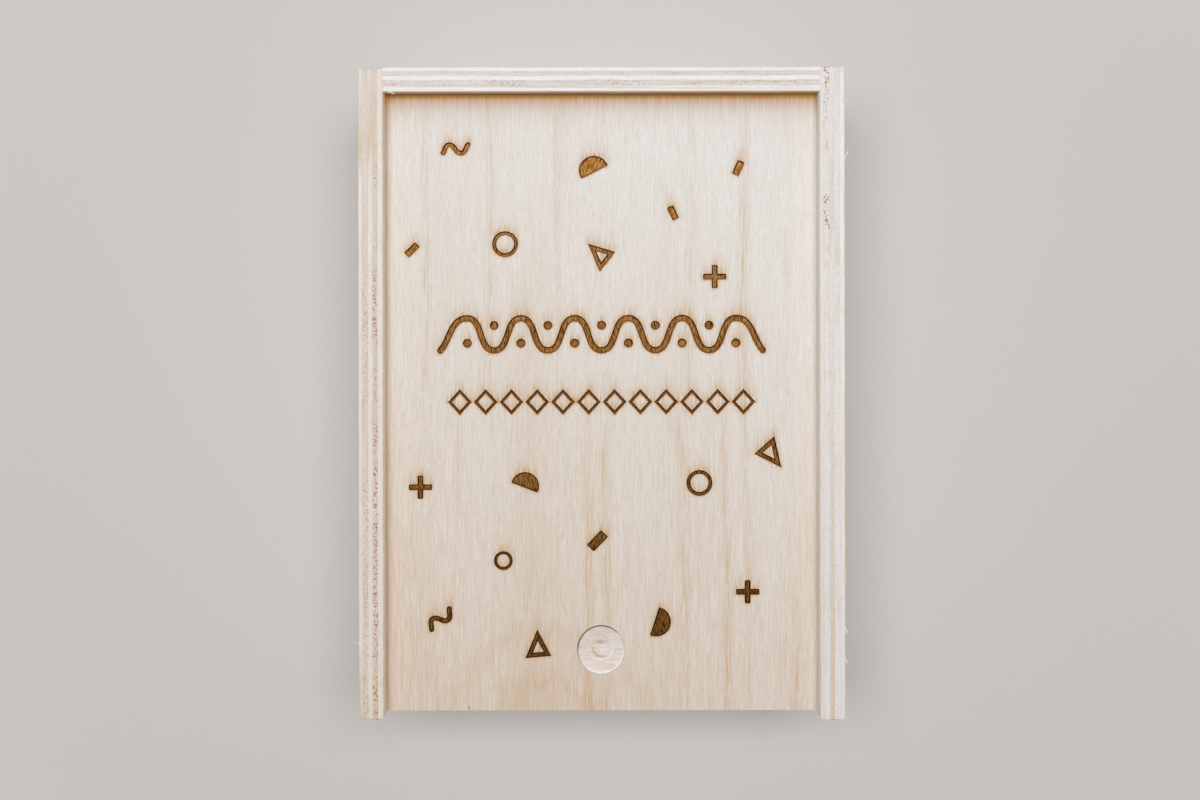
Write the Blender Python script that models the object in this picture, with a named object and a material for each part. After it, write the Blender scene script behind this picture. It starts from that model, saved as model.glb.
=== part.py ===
"""Plywood keepsake box with a sliding lid, in metres, +Z up.

The box stands on z = 0, centred on the origin. Its back wall is at +Y, and the
lid slides out towards -Y, over the top of the lower front wall. The side walls
run the full length, and the end walls are butted between them, glued and held
by brads. The lid runs in a groove in the side walls and the back wall, and the
base panel sits in a second groove in all four walls.
"""

from math import pi

import bmesh
import bpy
from mathutils import Matrix, Vector

# Outside of the box
BOX_WIDTH = 0.149
BOX_LENGTH = 0.200
BOX_HEIGHT = 0.075

# Sheet that the four walls are cut from: five plies, sanded
WALL = 0.0076
ARRIS = 0.0003
GLUE_LINE = 0.0003

# Lid, and the groove that it slides in
LID_THICKNESS = 0.0040
LID_PLAY = 0.0003
LID_SIDE_PLAY = 0.0004
LID_END_PLAY = 0.0005
LID_SETBACK = 0.0013
LID_LEAD = 0.0006
LIP_HEIGHT = 0.0060
LID_GROOVE_DEPTH = 0.0038

# Finger recess, bored into the lid with a flat-bottomed bit
RECESS_DIAMETER = 0.0150
RECESS_DEPTH = 0.0018
RECESS_SETBACK = 0.0192
RIM_SCORE_WIDTH = 0.0004
RIM_SCORE_DEPTH = 0.0003
SPUR_DIAMETER = 0.0022
SPUR_DEPTH = 0.0009

# Base panel, and the groove that holds it
BASE_THICKNESS = 0.0040
BASE_PLAY = 0.0003
BASE_SIDE_PLAY = 0.0004
BASE_LIFT = 0.0040
BASE_GROOVE_DEPTH = 0.0038

# Brads through the side walls into the ends of the front and back walls
BRAD_LENGTH = 0.0220
BRAD_DIAMETER = 0.0012
BRAD_HEAD_DIAMETER = 0.0020
BRAD_HEAD_THICKNESS = 0.0007
BRAD_POINT = 0.0018
BRAD_SINK = 0.0004
BRAD_PLAY = 0.0002
BRAD_HEIGHT_SHARES = (0.15, 0.50, 0.85)

# How far a cutting tool runs past the face that it enters or leaves
OVERRUN = 0.0020

# Points closer than this are one point
WELD = 0.000001

BORE_SIDES = 48
BRAD_SIDES = 12

# Places that several pieces share
half_width = BOX_WIDTH / 2
half_length = BOX_LENGTH / 2
inner_half_width = half_width - WALL
inner_half_length = half_length - WALL
end_wall_middle = half_length - WALL / 2
lid_groove_top = BOX_HEIGHT - LIP_HEIGHT
lid_groove_bottom = lid_groove_top - LID_THICKNESS - 2 * LID_PLAY
lid_underside = lid_groove_bottom + LID_PLAY
lid_top = lid_underside + LID_THICKNESS
lid_front = -half_length + LID_SETBACK
base_groove_top = BASE_LIFT + BASE_THICKNESS + 2 * BASE_PLAY


def clear_scene():
    """Start from an empty scene."""
    for thing in list(bpy.data.objects):
        bpy.data.objects.remove(thing, do_unlink=True)


def finish(name, colour, roughness, metallic=0.0):
    """A Principled BSDF of one linear colour."""
    material = bpy.data.materials.new(name)
    material.use_nodes = True
    material.diffuse_color = (*colour, 1.0)
    shader = material.node_tree.nodes["Principled BSDF"]
    shader.inputs["Base Color"].default_value = (*colour, 1.0)
    shader.inputs["Roughness"].default_value = roughness
    shader.inputs["Metallic"].default_value = metallic
    return material


def put(name, mesh, place, material=None):
    """An object for this mesh, with its origin at place."""
    thing = bpy.data.objects.new(name, mesh)
    bpy.context.scene.collection.objects.link(thing)
    thing.location = place
    if material:
        mesh.materials.clear()
        mesh.materials.append(material)
    else:
        thing.hide_render = True
        thing.display_type = "WIRE"
    return thing


def block_mesh(name, low, high, ease=0.0, stays_sharp=lambda edge: False):
    """A rectangular block between two corners, centred on its own origin, with
    its edges chamfered by ease."""
    shape = bmesh.new()
    bmesh.ops.create_cube(shape, size=1.0)
    sides = Vector(high) - Vector(low)
    bmesh.ops.transform(shape, matrix=Matrix.Diagonal((*sides, 1.0)), verts=shape.verts)
    if ease:
        edges = [edge for edge in shape.edges if not stays_sharp(edge)]
        bmesh.ops.bevel(shape, geom=edges, offset=ease, segments=1, affect="EDGES")
    mesh = bpy.data.meshes.new(name)
    shape.to_mesh(mesh)
    shape.free()
    return mesh


def board(name, low, high, material, ease=ARRIS, stays_sharp=lambda edge: False):
    """A sawn board between two corners, its arrises taken off."""
    mesh = block_mesh(name, low, high, ease, stays_sharp)
    return put(name, mesh, (Vector(low) + Vector(high)) / 2, material)


def saw(name, low, high):
    """The space that a saw cut takes away, between two corners."""
    return put(name, block_mesh(name, low, high), (Vector(low) + Vector(high)) / 2)


def turned_mesh(name, outline, sides):
    """A solid of revolution about its own Z. The outline is a list of (radius,
    height) that starts and ends on the axis."""
    shape = bmesh.new()
    points = [shape.verts.new((radius, 0, height)) for radius, height in outline]
    lines = [shape.edges.new(pair) for pair in zip(points, points[1:])]
    bmesh.ops.spin(
        shape,
        geom=points + lines,
        cent=(0, 0, 0),
        axis=(0, 0, 1),
        angle=2 * pi,
        steps=sides,
        use_merge=True,
    )
    bmesh.ops.remove_doubles(shape, verts=shape.verts, dist=WELD)
    bmesh.ops.recalc_face_normals(shape, faces=shape.faces)
    mesh = bpy.data.meshes.new(name)
    shape.to_mesh(mesh)
    shape.free()
    mesh.shade_smooth()
    mesh.set_sharp_from_angle(angle=pi / 6)
    return mesh


def cut(piece, tool):
    """Take the tool's shape out of the piece."""
    modifier = piece.modifiers.new(tool.name, "BOOLEAN")
    modifier.operation = "DIFFERENCE"
    modifier.solver = "EXACT"
    modifier.object = tool


def side_wall(name, side, material):
    """A full-length side wall. side is -1 on the left and 1 on the right. Both
    grooves run out at its ends, as a saw leaves them."""
    inner, outer = side * inner_half_width, side * half_width
    low = (min(inner, outer), -half_length, 0)
    high = (max(inner, outer), half_length, BOX_HEIGHT)

    def meets_end_wall(edge):
        upright = edge.verts[0].co.y == edge.verts[1].co.y
        return upright and all(side * corner.co.x < 0 for corner in edge.verts)

    wall = board(name, low, high, material, stays_sharp=meets_end_wall)
    grooves = (
        ("lid_groove", lid_groove_bottom, lid_groove_top, LID_GROOVE_DEPTH),
        ("base_groove", BASE_LIFT, base_groove_top, BASE_GROOVE_DEPTH),
    )
    for groove, bottom, top, depth in grooves:
        floor, mouth = inner + side * depth, inner - side * OVERRUN
        cut(
            wall,
            saw(
                f"{name}_{groove}",
                (min(floor, mouth), -half_length - OVERRUN, bottom),
                (max(floor, mouth), half_length + OVERRUN, top),
            ),
        )
    return wall


def end_wall(name, end, height, material):
    """A wall butted between the side walls. end is -1 at the front and 1 at the
    back."""
    reach = inner_half_width - GLUE_LINE
    inner, outer = end * inner_half_length, end * half_length
    low = (-reach, min(inner, outer), 0)
    high = (reach, max(inner, outer), height)

    def meets_side_wall(edge):
        return edge.verts[0].co.x == edge.verts[1].co.x

    return board(name, low, high, material, stays_sharp=meets_side_wall)


def end_groove(wall, end, label, bottom, top, depth):
    """Groove the inner face of an end wall, right through its width."""
    floor = end * (inner_half_length + depth)
    mouth = end * (inner_half_length - OVERRUN)
    cut(
        wall,
        saw(
            f"{wall.name}_{label}",
            (-inner_half_width - OVERRUN, min(floor, mouth), bottom),
            (inner_half_width + OVERRUN, max(floor, mouth), top),
        ),
    )


def base_panel(material):
    """The floor of the box, held in the lower groove on all four sides."""
    reach_x = inner_half_width + BASE_GROOVE_DEPTH - BASE_SIDE_PLAY
    reach_y = inner_half_length + BASE_GROOVE_DEPTH - BASE_SIDE_PLAY
    underside = BASE_LIFT + BASE_PLAY
    low = (-reach_x, -reach_y, underside)
    high = (reach_x, reach_y, underside + BASE_THICKNESS)
    return board("base_panel", low, high, material)


def finger_recess():
    """What the boring bit takes out of the lid: a flat floor with the scored
    ring of its rim and the pit of its centre spur."""
    radius = RECESS_DIAMETER / 2
    outline = (
        (0, -RECESS_DEPTH - SPUR_DEPTH),
        (SPUR_DIAMETER / 2, -RECESS_DEPTH),
        (radius - RIM_SCORE_WIDTH, -RECESS_DEPTH),
        (radius, -RECESS_DEPTH - RIM_SCORE_DEPTH),
        (radius, OVERRUN),
        (0, OVERRUN),
    )
    mesh = turned_mesh("finger_recess", outline, BORE_SIDES)
    return put("finger_recess", mesh, (0, lid_front + RECESS_SETBACK, lid_top))


def sliding_lid(material):
    """The lid, closed. Its tail and both long edges run in the groove, and are
    chamfered to enter it easily. Its front end stays square."""
    reach_x = inner_half_width + LID_GROOVE_DEPTH - LID_SIDE_PLAY
    tail = inner_half_length + LID_GROOVE_DEPTH - LID_END_PLAY
    low = (-reach_x, lid_front, lid_underside)
    high = (reach_x, tail, lid_top)

    def is_front_end(edge):
        return all(corner.co.y < 0 for corner in edge.verts)

    lid = board("sliding_lid", low, high, material, LID_LEAD, is_front_end)
    recess = finger_recess()
    cut(lid, recess)
    slide = bpy.data.objects.new("lid_slide", None)
    bpy.context.scene.collection.objects.link(slide)
    slide.location = (0, lid_front, lid_underside)
    for thing in (lid, recess):
        thing.location -= slide.location
        thing.parent = slide
    return lid


def brad_outline(play):
    """A brad on its own Z, head up, with its head's top at height 0. With play,
    it is the hole that the brad leaves in the wood, open at the top."""
    radius = BRAD_DIAMETER / 2 + play
    head_radius = BRAD_HEAD_DIAMETER / 2 + play
    top = BRAD_SINK + OVERRUN if play else 0
    return (
        (0, top),
        (head_radius, top),
        (head_radius, -BRAD_HEAD_THICKNESS - play),
        (radius, -BRAD_HEAD_THICKNESS - play),
        (radius, BRAD_POINT - BRAD_LENGTH),
        (0, -BRAD_LENGTH - play),
    )


def brads(walls, material):
    """Brads through both side walls into the ends of the end walls. walls holds
    each wall by its side: left, right, front and back."""
    brad = turned_mesh("brad", brad_outline(0), BRAD_SIDES)
    hole = turned_mesh("brad_hole", brad_outline(BRAD_PLAY), BRAD_SIDES)
    free_height = lid_groove_bottom - base_groove_top
    for side_name, side in (("left", -1), ("right", 1)):
        for end_name, end in (("front", -1), ("back", 1)):
            for number, share in enumerate(BRAD_HEIGHT_SHARES, 1):
                place = (
                    side * (half_width - BRAD_SINK),
                    end * end_wall_middle,
                    base_groove_top + share * free_height,
                )
                label = f"{end_name}_{side_name}_{number}"
                nail = put(f"brad_{label}", brad, place, material)
                bore = put(f"brad_hole_{label}", hole, place)
                for thing in (nail, bore):
                    thing.rotation_euler = (0, side * pi / 2, 0)
                cut(walls[side_name], bore)
                cut(walls[end_name], bore)


def main():
    clear_scene()
    side_plywood = finish("side_plywood", (0.74, 0.66, 0.58), 0.62)
    end_plywood = finish("end_plywood", (0.77, 0.70, 0.62), 0.62)
    lid_plywood = finish("lid_plywood", (0.72, 0.62, 0.53), 0.58)
    base_plywood = finish("base_plywood", (0.70, 0.59, 0.47), 0.65)
    brad_steel = finish("brad_steel", (0.42, 0.41, 0.40), 0.35, 1.0)

    walls = {
        "left": side_wall("left_side", -1, side_plywood),
        "right": side_wall("right_side", 1, side_plywood),
        "front": end_wall("front_wall", -1, lid_groove_bottom, end_plywood),
        "back": end_wall("back_wall", 1, BOX_HEIGHT, end_plywood),
    }
    for name, end in (("front", -1), ("back", 1)):
        wall = walls[name]
        end_groove(wall, end, "base_groove", BASE_LIFT, base_groove_top, BASE_GROOVE_DEPTH)
    end_groove(
        walls["back"], 1, "lid_groove", lid_groove_bottom, lid_groove_top, LID_GROOVE_DEPTH
    )
    base_panel(base_plywood)
    sliding_lid(lid_plywood)
    brads(walls, brad_steel)


main()
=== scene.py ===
"""Looks of a plywood keepsake box with a sliding lid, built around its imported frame.

Lengths are in metres and +Z is up. The back wall is at +Y, and the lid slides
out towards -Y. Every finished piece has its place in its mesh.
"""

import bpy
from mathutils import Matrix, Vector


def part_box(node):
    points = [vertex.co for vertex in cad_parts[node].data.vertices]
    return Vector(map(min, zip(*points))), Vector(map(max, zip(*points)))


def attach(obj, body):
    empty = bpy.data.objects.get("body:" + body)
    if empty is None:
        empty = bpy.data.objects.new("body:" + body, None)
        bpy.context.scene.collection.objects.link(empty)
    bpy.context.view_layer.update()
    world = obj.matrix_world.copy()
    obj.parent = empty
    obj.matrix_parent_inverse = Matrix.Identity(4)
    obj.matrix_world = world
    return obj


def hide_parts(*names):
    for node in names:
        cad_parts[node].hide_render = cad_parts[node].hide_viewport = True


bl_info = {
    "name": "Keepsake Box",
    "version": (1, 0, 0),
    "blender": (4, 5, 0),
    "location": "3D View > Sidebar > Keepsake Box",
    "description": "Models a plywood keepsake box with an engraved sliding lid",
    "category": "Add Mesh",
}

from math import cos, pi, radians, sin

import bmesh
import bpy
import numpy as np
from bpy.props import FloatProperty, FloatVectorProperty, PointerProperty
from bpy.types import Operator, Panel, PropertyGroup
from mathutils import Vector

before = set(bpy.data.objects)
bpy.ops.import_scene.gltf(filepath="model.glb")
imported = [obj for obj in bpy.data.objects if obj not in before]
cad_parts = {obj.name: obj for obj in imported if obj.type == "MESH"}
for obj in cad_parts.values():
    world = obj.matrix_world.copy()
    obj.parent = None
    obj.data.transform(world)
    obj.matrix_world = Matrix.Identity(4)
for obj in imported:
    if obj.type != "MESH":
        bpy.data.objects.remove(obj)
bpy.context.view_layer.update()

X, Y, Z = 0, 1, 2
MM = 0.001

# Places of the frame's boards, as pairs of lowest and highest corner
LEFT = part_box("left_side")
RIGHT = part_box("right_side")
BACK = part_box("back_wall")
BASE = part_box("base_panel")
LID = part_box("sliding_lid")

WALL = LEFT[1].x - LEFT[0].x
LID_THICKNESS = LID[1].z - LID[0].z
HALF_WIDTH = RIGHT[1].x
HALF_LENGTH = BACK[1].y

# Engraved confetti on the lid: where each shape lies, in millimetres from the
# middle of the box, and then its turn, its size and its line. Angles are in
# degrees, from +X towards +Y. A wavelet's size is a scale, and its points lie round
# its middle.
WAVELETS = ((-45.2, 75.6, 0, 1.0), (-50.1, -70.3, 31, 1.04))
WAVELET_POINTS = ((-3.9, -1.3), (-2.1, 1.25), (1.8, -1.35), (3.8, 1.3))
HALF_DISCS = ((-2.3, 68.75, 117, 4.6), (-23.85, -29.1, 69, 4.35), (16.75, -71.25, -18, 4.6))
BARS = (
    (42.5, 69.5, 66, 4.7, 2.25),
    (22.2, 55.6, 116, 4.4, 2.15),
    (-58.8, 44.3, 44, 4.7, 2.15),
    (-1.4, -46.1, 46, 6.4, 3.05),
)
RINGS = ((-29.9, 46.0, 4.0, 1.2), (30.3, -28.2, 4.0, 1.2), (-30.6, -52.2, 2.9, 0.95))
TRIANGLES = (
    ((-4.2, 46.1), (4.3, 43.5), (-0.5, 37.4)),
    ((53.6, -13.7), (47.3, -19.2), (55.7, -23.5)),
    ((-20.1, -73.6), (-23.8, -82.5), (-15.8, -81.8)),
)
CROSSES = ((35.15, 35.8), (-56.3, -29.4), (45.2, -62.0))

# Growth rings that run along the lid, as places across it in millimetres and how
# strongly they show, in its back half and in its front half
BACK_RINGS = (
    (-55.5, 0.8), (-35.7, 0.5), (-12.9, 0.7), (-6.3, 0.75), (28.2, 0.8), (44.2, 0.5),
    (58.5, 0.5),
)
FRONT_RINGS = (
    (-56.7, 0.45), (-44.2, 0.25), (-4.9, 0.38), (0.9, 0.38), (25.6, 0.45), (38.3, 0.35),
    (45.0, 0.3), (59.6, 0.6),
)

# Half the width of a ring's core and of all of it, in millimetres. How far a ring
# sways, and between which places along the lid the front rings take over.
RING_CORE, RING_REACH = 0.4, 2.3
RING_SWAY = 0.006
RINGS_SWAP = (0.015, -0.015)


def length_property(name, description, value):
    """A length property with its default."""
    return FloatProperty(name=name, description=description, default=value, unit="LENGTH")


class KeepsakeBoxSizes(PropertyGroup):
    """Sizes that the frame doesn't give."""

    arris: length_property("Arris", "Radius of the walls' sanded edges", 0.0004)
    groove_depth: length_property(
        "Groove Depth", "Depth of the lid's and the base's grooves", 0.0038
    )
    play: length_property("Play", "Gap above and below a panel in its groove", 0.0003)
    lead: length_property("Lead", "Chamfer on the lid's edges that run in the groove", 0.0006)
    engraving: length_property(
        "Engraving Depth", "Depth of the burnt pockets in the lid", 0.0004
    )
    line: length_property("Line", "Width of the engraved band's heavy line", 0.0020)
    recess_diameter: length_property(
        "Recess Diameter", "Diameter of the bored finger recess", 0.0150
    )
    recess_depth: length_property(
        "Recess Depth", "Depth of the finger recess below the lid's face", 0.0018
    )
    recess_setback: length_property(
        "Recess Setback", "Distance of the recess's middle from the lid's front edge", 0.0192
    )


def hex_property(name, description, value):
    """A colour property whose default is an sRGB hex value."""
    return FloatVectorProperty(
        name=name, description=description, default=linear(value), size=4, subtype="COLOR"
    )


def linear(value):
    """The linear RGBA colour of an sRGB hex value."""
    channels = [int(value[start : start + 2], 16) / 255 for start in (1, 3, 5)]
    curve = [c / 12.92 if c <= 0.04045 else ((c + 0.055) / 1.055) ** 2.4 for c in channels]
    return (*curve, 1.0)


class KeepsakeBoxColours(PropertyGroup):
    """Colours of the wood, the burnt wood, the brads and the floor."""

    veneer: hex_property("Veneer", "Sanded face veneer of the lid", "#f0ebe6")
    heartwood: hex_property("Heartwood", "Tan rings and patches in the veneer", "#cb9f63")
    long_ply: hex_property("Long Ply", "Left wall's plies that run along it", "#f1e9e0")
    pale_long_ply: hex_property("Pale Long Ply", "Right wall's plies that run along it", "#fbf7f3")
    white_ply: hex_property("White Ply", "End walls' plies that run along them", "#f9f6f5")
    cross_ply: hex_property("Cross Ply", "Plies that show their end grain", "#ede4de")
    pink_cross_ply: hex_property("Pink Cross Ply", "The end walls' cross plies", "#efe6e4")
    pale_cross_ply: hex_property("Pale Cross Ply", "The right wall's cross plies", "#f3f0f0")
    core_ply: hex_property("Core Ply", "The tan stretches of the cross plies", "#dcbf9c")
    # Partly painted shade: this inner face is warmer than the right wall's, giving the left wall's
    # lip its warm shade
    inside: hex_property("Inside", "Creamy veneer inside the left wall", "#fdeed6")
    # Partly painted shade: this tan gives the back wall's lip its warm shade
    shaded_end_inside: hex_property("End Inside", "Tan veneer inside the end walls", "#ecd0a6")
    pale_inside: hex_property("Pale Inside", "Pale veneer inside the right wall", "#fffcf8")
    fleck: hex_property("Fleck", "Brown flecks in the end grain", "#a4622f")
    pore: hex_property("Pore", "Open pores in the grain", "#a98a6c")
    fibre: hex_property("Fibre", "Darker fibres of the lid's veneer", "#b08f6c")
    # Char is also painted shade on the engraving's back walls, and the next colour is painted
    # light on its front walls
    char: hex_property("Char", "Back walls and the most burnt grain of the engraving", "#461c06")
    lit_side_burn: hex_property("Singed Wood", "Front walls of the engraving", "#a3643c")
    burnt: hex_property("Burnt Wood", "Floor of the engraving", "#9e5f21")
    toasted: hex_property("Toasted Wood", "Light grain in the engraving", "#d9a561")
    deep_char: hex_property("Deep Char", "Charred wood by the lid's front", "#240e02")
    deep_burnt: hex_property("Deep Burnt", "Burnt wood by the lid's front", "#54310e")
    deep_toasted: hex_property("Deep Toasted", "Toasted wood by the lid's front", "#8d602e")
    # Painted shade on the finger recess's rim, on its back side
    rim_shade: hex_property("Seared Wood", "Scorched rim of the finger recess", "#6c480e")
    scorch: hex_property("Scorch", "Smoke stain round the engraving", "#c99a58")
    # Painted shade: the next two colours are the warm shade from the walls, laid along the lid's
    # edges, deep and faint
    edge_shade: hex_property("Toasted Edge", "Stain along the lid's sawn edges", "#c98f3c")
    faint_edge_shade: hex_property("Faint Toast", "Stain further in from those edges", "#a67842")
    bored: hex_property("Bored Wood", "Floor of the finger recess", "#ece2dc")
    steel: hex_property("Steel", "Drawn steel wire of the brads", "#a9a8a6")
    floor: hex_property("Floor", "Plain pale floor and backdrop", "#dcd7d2")
    key: hex_property("Key", "Light of the wide soft lamp", "#f2f9ff")
    fill: hex_property("Fill", "Warm even fill light", "#f8ecdf")


# Modelling

# Cutting tools run this far out of the wood
OVERRUN = 0.002

# Faces within 25 degrees of a direction point to it
FACING = 0.9


def select_only(*pieces):
    """Deselect everything, then select these pieces. The last is made active."""
    bpy.ops.object.select_all(action="DESELECT")
    for piece in pieces:
        piece.select_set(True)
    bpy.context.view_layer.objects.active = pieces[-1]


def choose(piece, kind, test):
    """In edit mode, select the VERT, EDGE or FACE parts that pass the test."""
    bpy.ops.mesh.select_mode(type=kind)
    bpy.ops.mesh.select_all(action="DESELECT")
    shape = bmesh.from_edit_mesh(piece.data)
    parts = {"VERT": shape.verts, "EDGE": shape.edges, "FACE": shape.faces}[kind]
    for part in parts:
        if test(part):
            part.select_set(True)
    bmesh.update_edit_mesh(piece.data)


def edit(piece, kind, test):
    """Go into edit mode, with the parts that pass the test selected."""
    select_only(piece)
    bpy.ops.object.mode_set(mode="EDIT")
    choose(piece, kind, test)


def finish_edit():
    """Turn all the faces outwards and go back to object mode."""
    bpy.ops.mesh.select_all(action="SELECT")
    bpy.ops.mesh.normals_make_consistent(inside=False)
    bpy.ops.object.mode_set(mode="OBJECT")


def extrude(offset):
    """Extrude what is selected by an offset."""
    bpy.ops.mesh.extrude_region_move(TRANSFORM_OT_translate={"value": offset})


def add_block(name, low, high, material):
    """A cube stretched between two corners."""
    low, high = Vector(low), Vector(high)
    bpy.ops.mesh.primitive_cube_add(size=1, location=(low + high) / 2, scale=high - low)
    return settle(name, material)


def settle(name, material):
    """Name the new piece, give it a material, and put its place in its mesh."""
    piece = bpy.context.object
    select_only(piece)
    bpy.ops.object.transform_apply(location=True, rotation=True, scale=True)
    piece.name = piece.data.name = name
    piece.data.materials.clear()
    piece.data.materials.append(material)
    return piece


def add_copy(piece, name, offset, turn=0.0):
    """A copy with its own mesh, turned about the box's upright middle line and
    then moved."""
    select_only(piece)
    bpy.ops.object.duplicate(linked=False)
    copy = bpy.context.object
    copy.rotation_euler.z = turn
    copy.location = offset
    bpy.ops.object.transform_apply(location=True, rotation=True, scale=True)
    copy.name = copy.data.name = name
    return copy


def join(pieces):
    """Join pieces into the last of them."""
    if len(pieces) > 1:
        select_only(*pieces)
        bpy.ops.object.join()
    return pieces[-1]


def modify(piece, kind, **settings):
    """Give a piece a modifier with these settings, and apply it."""
    select_only(piece)
    bpy.ops.object.modifier_add(type=kind)
    modifier = piece.modifiers[-1]
    for name, value in settings.items():
        setattr(modifier, name, value)
    bpy.ops.object.modifier_apply(modifier=modifier.name)


def carve(piece, cutter):
    """Cut the cutter's shape out of the piece. The cut takes its material."""
    modify(
        piece, "BOOLEAN", operation="DIFFERENCE", solver="EXACT", material_mode="TRANSFER",
        object=cutter,
    )
    bpy.data.objects.remove(cutter, do_unlink=True)


def smooth(piece):
    """Shade the piece smooth, but keep its sharp edges."""
    select_only(piece)
    bpy.ops.object.shade_smooth_by_angle(angle=radians(30))


def runs_along(edge, axis):
    """Whether an edge is parallel to an axis."""
    along = edge.verts[1].co - edge.verts[0].co
    return abs(along[axis]) > 0.999 * along.length


def points_to(axis, side):
    """A test for the faces that point along an axis, to its side -1 or 1."""
    return lambda face: side * face.normal[axis] > FACING


# Boards

# Cuts that let a board wave, along it and across it
LONG_CUTS = 100
CROSS_CUTS = 8

SANDING_WAVE = 0.0003
SANDING_WAVELENGTH = 0.006
FRAY = 0.0006
FRAY_WAVELENGTH = 0.0012

# The left wall was sawn this much short at each end
LEFT_TRIM = 0.0004

# How much of the glue line at each end of an end wall is filled
GLUE_FILL = 0.00028

# The sheets that the boards are sawn from. plies says where each ply ends, as
# shares of the thickness from the outer face. The rest says how strong the flecks
# in the cross plies are, and in the outer one beside the others, how rare, and how
# many more there are per metre towards the back, how strong the saw's streaks are,
# how tan the cross plies are, how tan the long plies turn towards the front, which is
# partly their tone and partly painted sheen that leaves their back paler, how tan the
# cross plies' patches are, and how much painted shade lies on the inner face beside
# the lid's groove, where the lid meets the wall.
LEFT_SHEET = {
    "plies": (0.165, 0.40, 0.575, 0.785),
    "flecks": 0.85, "outer_flecks": 0.45, "rare": 0.40, "lean": -1.2, "streaks": 0.22,
    "cross_tan": 0.30, "sheen_and_front_tan": 0.08, "tan_patches": 0.4, "groove_shade": 0.08,
}
RIGHT_SHEET = {
    "plies": (0.205, 0.45, 0.62, 0.865),
    "flecks": 0.90, "outer_flecks": 0.12, "rare": 0.62, "lean": 2.2, "streaks": 0.12,
    "cross_tan": 0.0, "sheen_and_front_tan": 0.55, "tan_patches": 0.1, "groove_shade": 0.1,
}
END_SHEET = {
    "plies": (0.165, 0.36, 0.53, 0.76),
    "flecks": 0.45, "outer_flecks": 0.45, "rare": 0.44, "lean": 0.0, "streaks": 0.28,
    "cross_tan": 0.0, "sheen_and_front_tan": 0.0, "tan_patches": 0.3, "groove_shade": 0.9,
}
PANEL_SHEET = {
    "plies": (0.32, 0.68),
    "flecks": 0.60, "outer_flecks": 0.45, "rare": 0.38, "lean": 0.0, "streaks": 0.26,
    "cross_tan": 0.0, "sheen_and_front_tan": 0.0,
}

# Loose fibres on the walls' edges: where each starts and ends, in millimetres
SPLINTERS = {
    "left_side": (((-74.3, -76.2, 74.9), (-75.9, -75.9, 75.1)),),
    "right_side": (
        ((74.3, 87.6, 74.9), (75.2, 90.4, 75.2)),
        ((74.4, 71.8, 74.9), (75.4, 74.1, 75.1)),
        ((74.3, -71.6, 74.9), (75.2, -73.4, 75.2)),
        ((74.3, -81.2, 74.9), (75.3, -82.8, 75.1)),
    ),
    "back_wall": (((-65.8, 92.7, 74.6), (-63.4, 91.9, 74.0)),),
}
SPLINTER_THICKNESS = 0.0004


def clouds(name, wavelength):
    """A cloudy texture, for displacing a piece."""
    texture = bpy.data.textures.new(name, type="CLOUDS")
    texture.noise_scale = wavelength
    return texture


def sand(piece):
    """Give the board the slight waves that sanding by hand leaves."""
    modify(
        piece, "DISPLACE", texture=clouds("sanding_waves", SANDING_WAVELENGTH),
        texture_coords="GLOBAL", strength=SANDING_WAVE,
    )


def add_board(name, low, high, material, arris, long_axis, is_butted):
    """A board with sanded edges, sliced along its length so that it can wave."""
    board = add_block(name, low, high, material)
    edit(board, "EDGE", lambda edge: not is_butted(edge))
    bpy.ops.mesh.bevel(offset=arris, segments=3, affect="EDGES")
    for axis, cuts in ((long_axis, LONG_CUTS), (Z, CROSS_CUTS), (1 - long_axis, CROSS_CUTS)):
        choose(board, "EDGE", lambda edge: runs_along(edge, axis))
        bpy.ops.mesh.subdivide(number_cuts=cuts)
    finish_edit()
    sand(board)
    return board


def fray(piece, y):
    """Roughen the sawn end of a board that lies at a place along Y."""
    edit(piece, "VERT", lambda vert: abs(vert.co.y - y) < FRAY / 2)
    bpy.ops.object.vertex_group_assign_new()
    bpy.ops.object.mode_set(mode="OBJECT")
    modify(
        piece, "DISPLACE", texture=clouds("sawn_end", FRAY_WAVELENGTH), texture_coords="GLOBAL",
        direction="Y", strength=FRAY, vertex_group=piece.vertex_groups[-1].name,
    )
    piece.vertex_groups.clear()


def add_splinters(board, node):
    """Join the wall's loose fibres to it. Each bows a little and tapers."""
    fibre = torn_fibre() if node in SPLINTERS else None
    for start, end in SPLINTERS.get(node, ()):
        start, end = Vector(start) * MM, Vector(end) * MM
        along, middle = end - start, (start + end) / 2
        bpy.ops.mesh.primitive_cylinder_add(
            vertices=8,
            radius=SPLINTER_THICKNESS / 2,
            depth=along.length,
            location=middle,
            rotation=along.to_track_quat("Z", "Y").to_euler(),
        )
        splinter = settle("splinter", fibre)
        edit(splinter, "EDGE", lambda edge: edge.calc_length() > along.length / 2)
        bpy.ops.mesh.subdivide(number_cuts=4)
        choose(splinter, "VERT", lambda vert: (vert.co - middle).length < along.length / 4)
        bpy.ops.transform.translate(value=(0, 0, 2 * SPLINTER_THICKNESS))
        choose(splinter, "VERT", lambda vert: (vert.co - end).length < SPLINTER_THICKNESS)
        bpy.ops.transform.resize(value=(0.5, 0.5, 0.5), center_override=end)
        finish_edit()
        join([splinter, board])


def grooves(sizes, low, high, through, side, material):
    """The tools that saw the lid's and the base's grooves in a board's inner face,
    from end to end. through is the axis through the board, and side is the side of
    the box that it is on. The lower front wall has no groove for the lid."""
    along = 1 - through
    inner = side * ((HALF_WIDTH, HALF_LENGTH)[through] - WALL)
    tools = []
    for panel_low, panel_high in (LID, BASE):
        bottom, top = panel_low.z - sizes.play, panel_high.z + sizes.play
        if top < high.z:
            start, end = low.copy(), high.copy()
            start[along], end[along] = low[along] - OVERRUN, high[along] + OVERRUN
            start[through], end[through] = sorted(
                (inner + side * sizes.groove_depth, inner - side * OVERRUN)
            )
            start.z, end.z = bottom, top
            tools.append(add_block("groove", start, end, material))
    return tools


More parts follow.
